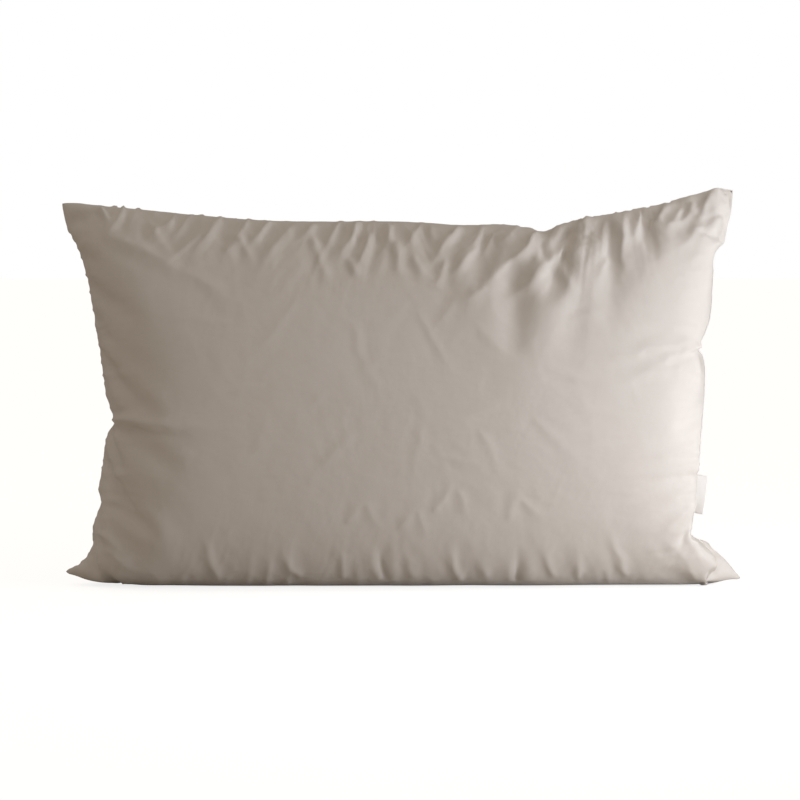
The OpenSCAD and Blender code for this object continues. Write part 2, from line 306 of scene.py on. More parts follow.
# --------------------------------------------------------- folds and crumple
# The simulation gives the filled shape and its large gathers.  Percale also
# keeps sharp, uneven folds, drawn here as lines on the front of the pillow:
# start x, z and end x, z (mm, seen from the front), width, height of the ridge
# on the surface (mm).  A fold is strongest at its start and fades to its end.
FOLDS = [
    # upper left corner: a V below the seam and a long ridge running down to the right
    (-345, 428, -335, 402, 7, 1.6), (-316, 428, -338, 398, 7, 1.6), (-352, 432, -344, 410, 6, -1.0),
    (-334, 398, -236, 352, 12, 1.5), (-236, 352, -180, 318, 14, 0.8), (-290, 412, -262, 372, 8, 1.0),
    # leaning gathers along the upper seam, left half
    (-262, 418, -290, 392, 7, 1.2), (-240, 420, -262, 398, 8, 1.1), (-205, 416, -240, 378, 8, 1.3),
    (-232, 398, -270, 366, 8, 0.9), (-172, 414, -208, 376, 8, 1.2), (-188, 396, -172, 366, 7, 0.7),
    (-150, 414, -178, 386, 7, 1.0), (-128, 408, -160, 366, 9, 1.1), (-98, 412, -124, 386, 7, 1.0),
    # a fuller group left of the middle
    (-70, 414, -92, 380, 8, 1.3), (-48, 412, -78, 366, 9, 1.7), (-36, 398, -62, 344, 9, 1.3),
    (-104, 392, -84, 340, 8, 0.9), (-62, 372, -46, 348, 7, 0.8), (-20, 410, -8, 372, 8, 0.9),
    (-8, 388, -2, 352, 8, 0.9), (22, 410, -4, 378, 7, 0.9), (12, 372, 26, 344, 8, 0.7),
    # right of the middle, towards the dip in the seam
    (62, 404, 28, 362, 9, 1.5), (48, 372, 36, 336, 8, 1.0), (92, 408, 60, 372, 8, 1.2), (84, 388, 52, 350, 8, 1.2),
    (112, 402, 86, 372, 7, 1.0), (132, 408, 108, 388, 7, 1.2),
    (152, 400, 92, 338, 10, 2.0), (92, 338, 66, 322, 9, 0.9), (158, 392, 172, 352, 9, -1.2),
    (196, 404, 168, 380, 9, -1.6), (184, 384, 118, 322, 11, 1.7), (176, 372, 190, 330, 8, 0.9),
    (212, 416, 186, 392, 8, 1.3), (204, 388, 178, 352, 8, 0.8),
    # right of the dip
    (238, 410, 232, 362, 9, -1.8), (252, 412, 246, 350, 9, 1.5), (232, 372, 218, 348, 7, 0.7),
    (272, 424, 262, 392, 7, 1.2), (288, 424, 266, 386, 9, -1.4), (300, 430, 268, 388, 8, 1.3),
    (318, 432, 296, 400, 8, 1.1), (330, 436, 320, 410, 7, 1.0), (338, 410, 312, 380, 8, 0.9),
    # upper right corner
    (352, 446, 336, 412, 7, 1.4), (336, 404, 362, 396, 6, -1.0), (364, 420, 340, 404, 6, 0.9), (366, 396, 344, 384, 7, 0.9),
    # from the notch in the right side
    (338, 272, 292, 260, 8, 1.6), (336, 264, 286, 276, 8, -1.2), (330, 280, 240, 262, 12, 1.3), (322, 252, 262, 238, 10, 0.8),
    (334, 292, 286, 300, 9, 0.7), (306, 262, 226, 222, 12, 0.7),
    # lower right: folds from the side and the pinch of the ear
    (332, 158, 286, 148, 9, 1.1), (334, 138, 276, 122, 10, 1.2), (332, 118, 292, 96, 9, 1.0), (330, 90, 298, 62, 9, 1.1),
    (326, 58, 312, 30, 8, -1.5), (334, 50, 346, 24, 8, 0.9), (342, 40, 366, 18, 7, 0.7), (322, 30, 296, 56, 9, 0.6),
    # from the notches in the left side
    (-334, 186, -262, 184, 9, 1.5), (-332, 178, -250, 172, 9, -1.2), (-322, 190, -200, 176, 13, 0.8),
    (-338, 100, -290, 74, 8, 1.3), (-336, 92, -296, 66, 8, -1.0), (-340, 130, -300, 118, 8, 0.6),
    (-346, 60, -318, 34, 8, 1.1), (-340, 40, -316, 18, 8, 0.8), (-352, 300, -318, 286, 9, 0.5), (-346, 240, -304, 236, 9, 0.5),
    # along the lower seam: short V-shaped dents and breaks
    (-66, 72, -44, 98, 10, 0.5), (-40, 94, -28, 62, 8, 0.4), (-6, 62, 16, 88, 9, 0.5), (18, 84, 24, 54, 8, 0.4),
    (36, 84, 54, 112, 10, 0.6), (60, 104, 76, 74, 8, 0.4), (118, 76, 134, 104, 9, 0.5), (138, 96, 156, 68, 8, 0.4),
    (-20, 8, -28, 42, 8, -1.1), (134, 8, 128, 40, 8, -1.1), (66, 10, 52, 44, 8, 0.8), (-120, 10, -140, 46, 9, 0.8),
    (-210, 10, -232, 52, 9, 0.8), (202, 12, 196, 52, 9, 0.7), (252, 14, 238, 60, 9, 0.8), (-70, 10, -76, 40, 8, 0.7),
    (96, 12, 88, 36, 7, 0.6), (10, 10, 6, 34, 7, 0.6), (172, 14, 160, 50, 8, 0.6),
    # long faint creases in the middle, fanning out
    (-120, 330, -180, 250, 9, 0.28), (-60, 300, -30, 220, 8, 0.28), (20, 310, 60, 230, 8, 0.30), (80, 300, 140, 240, 8, 0.28),
    (-160, 230, -250, 210, 9, 0.25), (-150, 160, -230, 120, 9, 0.28), (-60, 170, -110, 110, 8, 0.30), (20, 180, 10, 120, 8, 0.30),
    (90, 180, 110, 120, 8, 0.30), (150, 190, 200, 140, 8, 0.30), (160, 250, 230, 230, 9, 0.28), (-200, 300, -270, 310, 9, 0.25),
    (-10, 260, -70, 240, 8, 0.22), (110, 210, 60, 190, 8, 0.25), (-90, 220, -130, 190, 8, 0.22), (40, 150, 90, 130, 8, 0.25),
    (190, 300, 250, 320, 9, 0.3), (200, 200, 270, 190, 9, 0.3), (-240, 150, -300, 140, 9, 0.25), (60, 330, 30, 280, 8, 0.3),
]


class Value:
    """Smooth value noise on a plane, between 0 and 1."""

    def __init__(self, seed):
        self.g = np.random.default_rng(seed).random((64, 64))

    def __call__(self, x, y):
        i, j = np.floor(x).astype(int), np.floor(y).astype(int)
        f, g = x - i, y - j
        f, g = f * f * (3 - 2 * f), g * g * (3 - 2 * g)
        t = self.g
        a, b, c, d = t[i % 64, j % 64], t[(i + 1) % 64, j % 64], t[i % 64, (j + 1) % 64], t[(i + 1) % 64, (j + 1) % 64]
        return (a * (1 - f) + b * f) * (1 - g) + (c * (1 - f) + d * f) * g


def ridges(x, y, lean, across, along, seed):
    """Sharp uneven ridges that run at an angle (radians from the x axis): their spacing and length in mm."""
    c, s = np.cos(lean), np.sin(lean)
    w1, w2 = Value(seed + 1), Value(seed + 2)
    a, b = (x * c + y * s), (-x * s + y * c)
    b = b + 0.6 * across * (w1(x / (2.2 * across), y / (2.2 * across)) - 0.5) * 2
    n = Value(seed)(a / along + 7.3, b / across + 3.1)
    m = Value(seed + 3)(a / (0.55 * along) + 1.3, b / (0.55 * across) + 9.1)
    r = 1 - np.abs(2 * n - 1)
    q = 1 - np.abs(2 * m - 1)
    return r ** 1.6 + 0.5 * q ** 1.6 - 0.6


def fold_heights(x, z, folds, seed):
    """Height of the drawn folds, in mm, at points x, z in mm."""
    w1, w2 = Value(seed), Value(seed + 1)
    wx = x + 7 * (w1(x / 26, z / 26) - 0.5) + 3 * (w2(x / 11, z / 11) - 0.5)
    wz = z + 7 * (w2(x / 26 + 5, z / 26) - 0.5) + 3 * (w1(x / 11 + 8, z / 11) - 0.5)
    h = np.zeros_like(x)
    for x0, z0, x1, z1, w, high in folds:
        dx, dz = x1 - x0, z1 - z0
        L = math.hypot(dx, dz)
        reach = 4 * w
        near = ((wx > min(x0, x1) - reach) & (wx < max(x0, x1) + reach)
                & (wz > min(z0, z1) - reach) & (wz < max(z0, z1) + reach))
        if not near.any():
            continue
        ax, az = wx[near] - x0, wz[near] - z0
        t = (ax * dx + az * dz) / (L * L)
        d = (ax * dz - az * dx) / L
        if dz > 0:
            d = -d                                  # positive on the right of the fold
        fade = np.clip((t + 0.12) / 0.25, 0, 1) * np.clip((1.15 - t) / 0.85, 0, 1) ** 0.8
        fade = fade * fade * (3 - 2 * fade)
        s = w * (0.52 + 0.3 * np.clip(t, 0, 1))
        r = np.exp(-(np.abs(d) / s) ** 1.35) - 0.42 * np.exp(-((d - 1.9 * s) / (1.3 * s)) ** 2) - 0.30 * np.exp(-((d + 2.0 * s) / (1.5 * s)) ** 2)
        h[near] += high * fade * r
    return h


def beside_seams(X):
    """The cloth next to the side seams bellies out no further than the seams themselves."""
    t = 0.004
    for end, side in ((0, -1), (-1, 1)):
        z, x = X[2, 0, end].copy(), X[0, 0, end].copy()
        order = np.argsort(z)
        for p in (0, 1):
            nearer = 2.8 / (2.8 - np.abs(X[1, p]))
            e = side * (X[0, p] * nearer - np.interp(X[2, p], z[order], x[order]))
            f = -t * np.log1p(np.exp(np.clip(-e / t, -40, 40)))
            back = t * math.log(2) * np.exp(-(X[1, p] / 0.012) ** 2 - (e / 0.006) ** 2)
            X[0, p] += side * np.where(e > -0.05, f + back - e, 0) / nearer
    return X


def crumple(X):
    """Adds the folds and the crumple to both panels of the filled casing."""
    nx, nz = X.shape[2] - 1, X.shape[3] - 1
    u, v = np.linspace(0, 1, nx + 1)[:, None], np.linspace(0, 1, nz + 1)[None, :]
    # the gathers of the simulation are evened out a little, away from the seams
    for _ in range(12):
        for p in (0, 1):
            Y = X[:, p]
            m = Y.copy()
            m[:, 1:-1, 1:-1] = 0.25 * (Y[:, 2:, 1:-1] + Y[:, :-2, 1:-1] + Y[:, 1:-1, 2:] + Y[:, 1:-1, :-2])
            k = 0.75 * np.clip(np.minimum(np.minimum(u, 1 - u) * FLAT_W, np.minimum(v, 1 - v) * FLAT_H) / 0.005, 0, 1)
            X[:, p] = Y + k * (m - Y)
    N = area_normals(X.astype(F)).astype(float)
    N /= np.maximum(np.linalg.norm(N, axis=0, keepdims=True), 1e-12)
    top, low = (1 - v) * FLAT_H * 1000 + 0 * u, v * FLAT_H * 1000 + 0 * u
    left, right = u * FLAT_W * 1000 + 0 * v, (1 - u) * FLAT_W * 1000 + 0 * v
    seam = 1000 * X[:, 0]
    for p in (0, 1):
        # where each point shows from in front, or from behind for the back panel
        depth = 2.8 + (X[1, p] if p == 0 else -X[1, p])
        x = (X[0, p] * 2.8 / depth) * 1000
        z = ((X[2, p] - 0.212 + (X[1, p] if p == 0 else -X[1, p]) * 0.061) * 2.8 / depth + 0.212) * 1000
        # how far each point shows from each seam
        vt = np.interp(x, seam[0, :, -1], seam[2, :, -1]) - z
        vb = z - np.interp(x, seam[0, :, 0], seam[2, :, 0])
        vl = x - np.interp(z, seam[2, 0], seam[0, 0])
        vr = np.interp(z, seam[2, -1], seam[0, -1]) - x
        vt, vb, vl, vr = (np.maximum(q, 0) for q in (vt, vb, vl, vr))
        if p:
            x = -x
        sd = 40 * p
        um = x / 10
        # lean of the gathers along the upper seam
        lean_top = np.radians(56 + 16 * np.exp(-((x + 20) / 50) ** 2) + 22 * np.exp(-((x - 236) / 36) ** 2) - 6)
        rt = ridges(x, z, lean_top, 15, 60, 11 + sd)
        ra = ridges(x, z, np.radians(118), 19, 48, 15 + sd)
        h = (1.7 * rt + 0.8 * ra) * np.exp(-(vt / 56) ** 1.8) * np.clip(top / 24, 0, 1) * (0.55 + 0.9 * Value(60 + sd)(x / 60, z / 60))
        # lower seam: steeper and shorter
        rb = ridges(x, z, np.radians(90 + 0.06 * x), 20, 44, 21 + sd)
        h += 0.9 * rb * np.exp(-(vb / 46) ** 1.6) * np.clip(low / 30, 0, 1) * (0.5 + Value(61 + sd)(x / 60, z / 60))
        # sides: they run in from the seam
        fan = np.radians(np.clip((z - 215) * -0.16, -32, 32))
        rl = ridges(x, z, -fan, 20, 60, 31 + sd)
        rr = ridges(x, z, fan, 20, 60, 36 + sd)
        h += 0.8 * rl * np.exp(-(vl / 50) ** 1.5) * np.clip(left / 8, 0, 1) * (0.4 + Value(62 + sd)(x / 60, z / 60))
        h += 1.0 * rr * np.exp(-(vr / 58) ** 1.5) * np.clip(right / 8, 0, 1) * (0.4 + Value(63 + sd)(x / 60, z / 60))
        # everywhere: faint, in all directions, as cloth that was packed and shaken out
        for k, (ang, sp, ln, am) in enumerate(((25, 26, 70, 0.16), (70, 22, 60, 0.20), (115, 24, 64, 0.18), (160, 28, 70, 0.12), (50, 11, 26, 0.07), (130, 10, 24, 0.06))):
            h += am * ridges(x, z, np.radians(ang), sp, ln, 70 + 5 * k + sd)
        folds = FOLDS if p == 0 else [(-a - 14, b, -c - 6, d, w, g * 0.85) for a, b, c, d, w, g in FOLDS[::-1]]
        h += 1.9 * fold_heights(x, z, folds, 90 + sd)
        edge = np.minimum(np.minimum(top, low), np.minimum(left, right))
        h *= np.clip(edge / 5, 0, 1)
        # nothing stands out next to the label
        near_label = np.exp(-((X[2, p] - 0.105) / 0.03) ** 4) * np.exp(-(right / 14) ** 2)
        h *= 1 - near_label
        # where the surface turns away from the front it needs deeper folds to show the same
        h *= np.clip(0.95 / np.maximum(np.abs(N[1, p]), 0.1), 1, 1.8)
        # the outline stays smooth
        h *= np.clip(np.abs(N[1, p]) / 0.30, 0.3, 1)
        # the part that rests on the surface below is pressed smooth
        h *= np.clip((X[2, p] - 0.001) / 0.014, 0, 1)
        X[:, p] += N[:, p] * h[None] / 1000
    # its weight sets it down flat on the surface below
    under = min(float(np.percentile(X[2], 1)), 0.004)
    X[2] -= under * np.clip(1 - (X[2] - under) / 0.06, 0, 1)
    X[2] = np.maximum(X[2], 0)
    return X


# ------------------------------------------------------------- mesh tools
def add_mesh(name, verts, faces, smooth=True):
    me = bpy.data.meshes.new(name)
    verts = np.asarray(verts, np.float32)
    me.vertices.add(len(verts))
    me.vertices.foreach_set("co", verts.ravel())
    sizes = np.array([len(f) for f in faces], np.int32) if not isinstance(faces, np.ndarray) else np.full(len(faces), faces.shape[1], np.int32)
    flat = np.concatenate([np.asarray(f, np.int32) for f in faces]) if not isinstance(faces, np.ndarray) else faces.astype(np.int32).ravel()
    me.loops.add(len(flat))
    me.loops.foreach_set("vertex_index", flat)
    me.polygons.add(len(sizes))
    start = np.r_[0, np.cumsum(sizes)[:-1]].astype(np.int32)
    me.polygons.foreach_set("loop_start", start)
    me.polygons.foreach_set("use_smooth", np.full(len(sizes), smooth))
    me.update(calc_edges=True)
    me.validate()
    ob = bpy.data.objects.new(name, me)
    bpy.context.scene.collection.objects.link(ob)
    return ob


def grid_quads(nx, nz, flip):
    i, j = np.meshgrid(np.arange(nx), np.arange(nz), indexing="ij")
    a = (i * (nz + 1) + j).ravel()
    b = ((i + 1) * (nz + 1) + j).ravel()
    q = np.c_[a, b, b + 1, a + 1]
    return q[:, ::-1] if flip else q


def around(nx, nz):
    """Grid points round the edge, anticlockwise seen from the front, as (i, j)."""
    return ([(i, 0) for i in range(nx)] + [(nx, j) for j in range(nz)]
            + [(i, nz) for i in range(nx, 0, -1)] + [(0, j) for j in range(nz, 0, -1)])


def unit(a):
    return a / np.maximum(np.linalg.norm(a, axis=-1, keepdims=True), 1e-12)


def ring_tangent(P):
    return unit(np.roll(P, -1, 0) - np.roll(P, 1, 0))


def rolling(P, w):
    """P, a closed line, evened out over w points to each side."""
    out = P.copy()
    for k in range(1, w + 1):
        out += np.roll(P, k, 0) + np.roll(P, -k, 0)
    return out / (2 * w + 1)




def tubes(paths, radius, sides=6, closed=False):
    """Round thread of a given radius along each path, an array of points, as one list of verts and faces."""
    V, Q, base = [], [], 0
    ang = np.linspace(0, 2 * np.pi, sides, endpoint=False)
    for P in paths:
        P = np.asarray(P, float)
        m = len(P)
        T = unit(np.roll(P, -1, 0) - np.roll(P, 1, 0)) if closed else unit(np.gradient(P, axis=0))
        ref = np.array([0.31, 0.87, 0.37])
        A = unit(np.cross(T, ref))
        B = np.cross(T, A)
        R = np.full(m, radius)
        if not closed:
            R[0] = R[-1] = radius * 0.45
        ring = P[:, None] + R[:, None, None] * (np.cos(ang)[None, :, None] * A[:, None] + np.sin(ang)[None, :, None] * B[:, None])
        V.append(ring.reshape(-1, 3))
        i, k = np.meshgrid(np.arange(m if closed else m - 1), np.arange(sides), indexing="ij")
        i, k = i.ravel(), k.ravel()
        n, l = (i + 1) % m, (k + 1) % sides
        Q.append(base + np.c_[i * sides + k, i * sides + l, n * sides + l, n * sides + k])
        if not closed:
            # the ends close on a point each
            V.append(np.array([P[0] - T[0] * radius * 0.6, P[-1] + T[-1] * radius * 0.6]))
            e0, e1 = base + m * sides, base + m * sides + 1
            k = np.arange(sides)
            l = (k + 1) % sides
            last = base + (m - 1) * sides
            Q.append(np.c_[base + l, base + k, np.full(sides, e0), np.full(sides, e0)])
            Q.append(np.c_[last + k, last + l, np.full(sides, e1), np.full(sides, e1)])
            base += 2
        base += m * sides
    V, Q = np.vstack(V), np.vstack(Q)
    faces = [tuple(q[:3]) if q[2] == q[3] else tuple(q) for q in Q.tolist()]
    return V, faces


def put_uv(ob, uv):
    """A UV map in metres along the cloth, from one (u, v) for each vertex."""
    layer = ob.data.uv_layers.new(name="Cloth")
    idx = np.empty(len(ob.data.loops), np.int32)
    ob.data.loops.foreach_get("vertex_index", idx)
    layer.data.foreach_set("uv", np.asarray(uv, np.float32)[idx].ravel())


# ------------------------------------------------------------- the casing
X = crumple(beside_seams(simulate()))
X[2] += 0.0004
NX, NZ = X.shape[2] - 1, X.shape[3] - 1
RING = np.array(around(NX, NZ))
RU, RV = RING[:, 0] / NX, RING[:, 1] / NZ
SEAM = X[:, 0][:, RING[:, 0], RING[:, 1]].T           # points on the seam, (n, 3)
PLANE = seam_plane(NX, NZ)


def plane_at(u, v, field=None):
    """Point of the seam plane, or value of a field, at fractional u, v."""
    field = PLANE if field is None else field
    a, b = np.clip(u * NX, 0, NX - 1e-6), np.clip(v * NZ, 0, NZ - 1e-6)
    i, j = a.astype(int), b.astype(int)
    f, g = (a - i)[:, None], (b - j)[:, None]
    return ((1 - f) * (1 - g) * field[i, j] + f * (1 - g) * field[i + 1, j]
            + (1 - f) * g * field[i, j + 1] + f * g * field[i + 1, j + 1])


MIDDLE = 0.5 * (X[1, 0] + X[1, 1])[..., None]


def inwards(e):
    """Offset from the seam to the point e inside it, halfway between the panels."""
    u, v = RU + (1 - 2 * RU) * e / 0.70, RV + (1 - 2 * RV) * e / 0.42
    d = plane_at(u, v) - plane_at(RU, RV)
    y = plane_at(u, v, MIDDLE) - plane_at(RU, RV, MIDDLE)
    return np.c_[d[:, 0], y[:, 0], d[:, 1]]


LABEL_AT = np.array([0.333571, 0.0, 0.105])
LEAN = math.atan(6 / 70)
LX = np.array([math.cos(LEAN), 0, -math.sin(LEAN)])
LY = np.array([0.0, 1, 0])
LZ = np.array([math.sin(LEAN), 0, math.cos(LEAN)])
LABEL_L, LABEL_OUT, LABEL_T = 0.044, 0.012, 0.0009

# half the gap between the two allowances, wider where the label is caught
along = (SEAM - LABEL_AT) @ LZ
at_label = np.clip((LABEL_L / 2 + 0.006 - np.abs(along)) / 0.004, 0, 1) * (RU == 1)
GAP = 0.00012 + 0.0004 * at_label

STEP = 2


def panel(name, side):
    """One panel: outer face, the allowance folded to the inside, inner face.  side -1 is the front."""
    p = 0 if side < 0 else 1
    outer = X[:, p].copy()
    N = unit(np.moveaxis(area_normals(X.astype(F)).astype(float)[:, p], 0, -1))
    into = unit(inwards(0.01))
    rim = SEAM + 0.0007 * into
    rim[:, 1] += side * GAP
    outer[:, RING[:, 0], RING[:, 1]] = rim.T
    rings = [rim]
    for e, off in ((0.0022, 0.0), (ALLOW, 0.0), (ALLOW, CLOTH), (0.0022, CLOTH)):
        r = SEAM + inwards(e)
        r[:, 1] += side * (GAP + off)
        r[:, 2] = np.maximum(r[:, 2], 0.0008)
        rings.append(r)
    nx, nz = NX // STEP, NZ // STEP
    # the inner face is coarser, so it stays further in where the cloth is creased
    gu, gv = np.linspace(0, 1, NX + 1)[:, None], np.linspace(0, 1, NZ + 1)[None, :]
    edge = np.minimum(np.minimum(gu, 1 - gu) * FLAT_W, np.minimum(gv, 1 - gv) * FLAT_H)
    deep = (0.0006 + 0.0010 * np.clip(edge / 0.012, 0, 1))[..., None]
    inner = (np.moveaxis(X[:, p], 0, -1) - deep * N)[::STEP, ::STEP]
    inner[..., 2] = np.maximum(inner[..., 2], 0.0008)
    small = np.array(around(nx, nz))
    r = SEAM + inwards(0.0016)
    r[:, 1] += side * (GAP + CLOTH)
    inner[small[:, 0], small[:, 1]] = r[::STEP]
    V = [np.moveaxis(outer, 0, -1).reshape(-1, 3)]
    count = (NX + 1) * (NZ + 1)
    idx = [RING[:, 0] * (NZ + 1) + RING[:, 1]]
    nr = len(RING)
    for r in rings[1:]:
        V.append(r)
        idx.append(count + np.arange(nr))
        count += nr
    V.append(inner.reshape(-1, 3))
    inner_idx = count + small[:, 0] * (nz + 1) + small[:, 1]
    Q = [grid_quads(NX, NZ, False)]
    for a, b in zip(idx[:-1], idx[1:]):
        a2, b2 = np.roll(a, -1), np.roll(b, -1)
        Q.append(np.c_[a, b, b2, a2])
    Q.append(count + grid_quads(nx, nz, True))
    tri = []
    last, m = idx[-1], len(small)
    for k in range(m):
        a, b = inner_idx[k], inner_idx[(k + 1) % m]
        f = [last[(STEP * k + q) % nr] for q in range(STEP + 1)]
        h = STEP // 2
        for q in range(STEP):
            tri.append((f[q], a if q < h else b, f[q + 1]))
            if q == h - 1 or STEP == 1:
                tri.append((f[q + 1], a, b))
    faces = [tuple(q) for q in np.vstack(Q).tolist()] + [tuple(int(x) for x in t) for t in tri]
    if side > 0:
        faces = [f[::-1] for f in faces]
    ob = add_mesh(name, np.vstack(V), faces)
    gu, gv = np.meshgrid(np.linspace(0, FLAT_W, NX + 1), np.linspace(0, FLAT_H, NZ + 1), indexing="ij")
    uv = [np.c_[gu.ravel(), gv.ravel()]]
    ru, rv = RU * FLAT_W, RV * FLAT_H
    ox, oy = np.where(RU == 0, -1, np.where(RU == 1, 1, 0)), np.where(RV == 0, -1, np.where(RV == 1, 1, 0))
    for e in (0.0022, ALLOW, ALLOW + CLOTH, ALLOW + 0.008):
        uv.append(np.c_[ru + ox * e, rv + oy * e])
    uv.append(np.c_[gu[::STEP, ::STEP].ravel(), gv[::STEP, ::STEP].ravel()])
    put_uv(ob, np.vstack(uv))
    # the seam edge is crisp
    me = ob.data
    key = set()
    for a, b in zip(idx[0], np.roll(idx[0], -1)):
        key.add((min(a, b), max(a, b)))
    ev = np.empty(2 * len(me.edges), np.int32)
    me.edges.foreach_get("vertices", ev)
    ev = ev.reshape(-1, 2)
    ev.sort(axis=1)
    big = np.int64(len(me.vertices))
    want = np.array([int(a) * int(big) + int(b) for a, b in key])
    sharp = np.isin(ev[:, 0].astype(np.int64) * big + ev[:, 1], want)
    attr = me.attributes.new("sharp_edge", "BOOLEAN", "EDGE")
    attr.data.foreach_set("value", sharp)
    return ob


front_cloth = panel("front_panel_cloth", -1)
back_cloth = panel("back_panel_cloth", 1)


# ------------------------------------------------------- filling and thread
def filling():
    s = max(1, NX // 80)
    N = area_normals(X.astype(F)).astype(float)
    N /= np.maximum(np.linalg.norm(N, axis=0, keepdims=True), 1e-12)
    Y = X - 0.007 * N
    for _ in range(8):
        Y[:, :, 1:-1, 1:-1] += 0.6 * (0.25 * (Y[:, :, 2:, 1:-1] + Y[:, :, :-2, 1:-1] + Y[:, :, 1:-1, 2:] + Y[:, :, 1:-1, :-2]) - Y[:, :, 1:-1, 1:-1])
    f = [np.moveaxis(Y[:, p], 0, -1)[3 * s:NX - 3 * s + 1:s, 3 * s:NZ - 3 * s + 1:s] for p in (0, 1)]
    mid = 0.5 * (f[0] + f[1])
    out = []
    for side, g in zip((-1, 1), f):
        g = g.copy()
        g[..., 1] = mid[..., 1] + side * np.maximum(side * (g[..., 1] - mid[..., 1]), 0.001)
        g[..., 2] = np.maximum(g[..., 2], 0.004)
        out.append(g)
    mx, mz = f[0].shape[0] - 1, f[0].shape[1] - 1
    n = (mx + 1) * (mz + 1)
    b = np.array([i * (mz + 1) + j for i, j in around(mx, mz)])
    b2 = np.roll(b, -1)
    Q = np.vstack([grid_quads(mx, mz, False), n + grid_quads(mx, mz, True), np.c_[b, b + n, b2 + n, b2]])
    return add_mesh("down_fill", np.vstack([g.reshape(-1, 3) for g in out]), Q)


down = filling()


def seam_point(k, e, y):
    """A point e inside the seam line at ring position k, which may be fractional, y from its plane."""
    n = len(SEAM)
    i = int(math.floor(k)) % n
    f = k - math.floor(k)
    base = (1 - f) * (SEAM[i] + e * INTO[i]) + f * (SEAM[(i + 1) % n] + e * INTO[(i + 1) % n])
    return base + np.array([0, y, 0])


INTO = inwards(0.01) / 0.01
arc = np.r_[0, np.cumsum(np.linalg.norm(np.roll(SEAM, -1, 0) - SEAM, axis=1))]
ROUND = arc[-1]


def at_arc(s):
    return float(np.interp(s % ROUND, arc, np.arange(len(arc))))


# the opening in the lower seam, closed last
OPEN_A = float(np.interp(-0.090, SEAM[:NX, 0], arc[:NX]))
OPEN_B = float(np.interp(0.090, SEAM[:NX, 0], arc[:NX]))


def lockstitch():
    paths = []
    s = OPEN_B
    while s < OPEN_A + ROUND - 0.0026:
        k = at_arc(s), at_arc(s + 0.0011), at_arc(s + 0.0022)
        gap = float(np.interp(k[1], np.arange(len(GAP)), GAP))
        for side in (-1, 1):
            y = side * (gap + CLOTH + 0.00012)
            paths.append([seam_point(k[0], 0.0030, y - side * 0.0002), seam_point(k[1], 0.0030, y),
                          seam_point(k[2], 0.0030, y - side * 0.0002)])
        s += 0.0026
    return tubes(paths, 0.00016, 5)


def overlock():
    paths, P = [], []
    n = int(ROUND / 0.0030)
    for q in range(n):
        s = q * ROUND / n
        a, b = at_arc(s), at_arc(s + 0.5 * ROUND / n)
        g = float(np.interp(a, np.arange(len(GAP)), GAP)) + CLOTH + 0.00022
        P += [seam_point(a, 0.0062, -g), seam_point(a, 0.0101, -g), seam_point(b, 0.0104, 0), seam_point(b, 0.0101, g),
              seam_point(b, 0.0062, g), seam_point(b, 0.0103, g * 0.7), seam_point(a, 0.0105, 0)]
    return tubes([P], 0.00016, 5, closed=True)


def closing():
    paths = []
    row = max(1, round(0.0022 / (FLAT_H / NZ)))
    for p, side in ((0, -1), (1, 1)):
        line = X[:, p, :, row].T
        keep = (line[:, 0] > -0.092) & (line[:, 0] < 0.092)
        line = line[keep]
        s = np.r_[0, np.cumsum(np.linalg.norm(np.diff(line, axis=0), axis=1))]
        t = 0.0
        while t < s[-1] - 0.003:
            pts = np.array([[np.interp(t + d, s, line[:, a]) for a in range(3)] for d in (0, 0.0008, 0.0016, 0.0024)])
            pts[:, 2] += np.array([0.0002, -0.0001, -0.0001, 0.0002])
            paths.append(pts)
            t += 0.0031
    return tubes(paths, 0.0002, 6)


stitches = add_mesh("seam_stitches", *lockstitch())
overlocked = add_mesh("overlock_stitches", *overlock())
closed = add_mesh("closing_stitches", *closing())


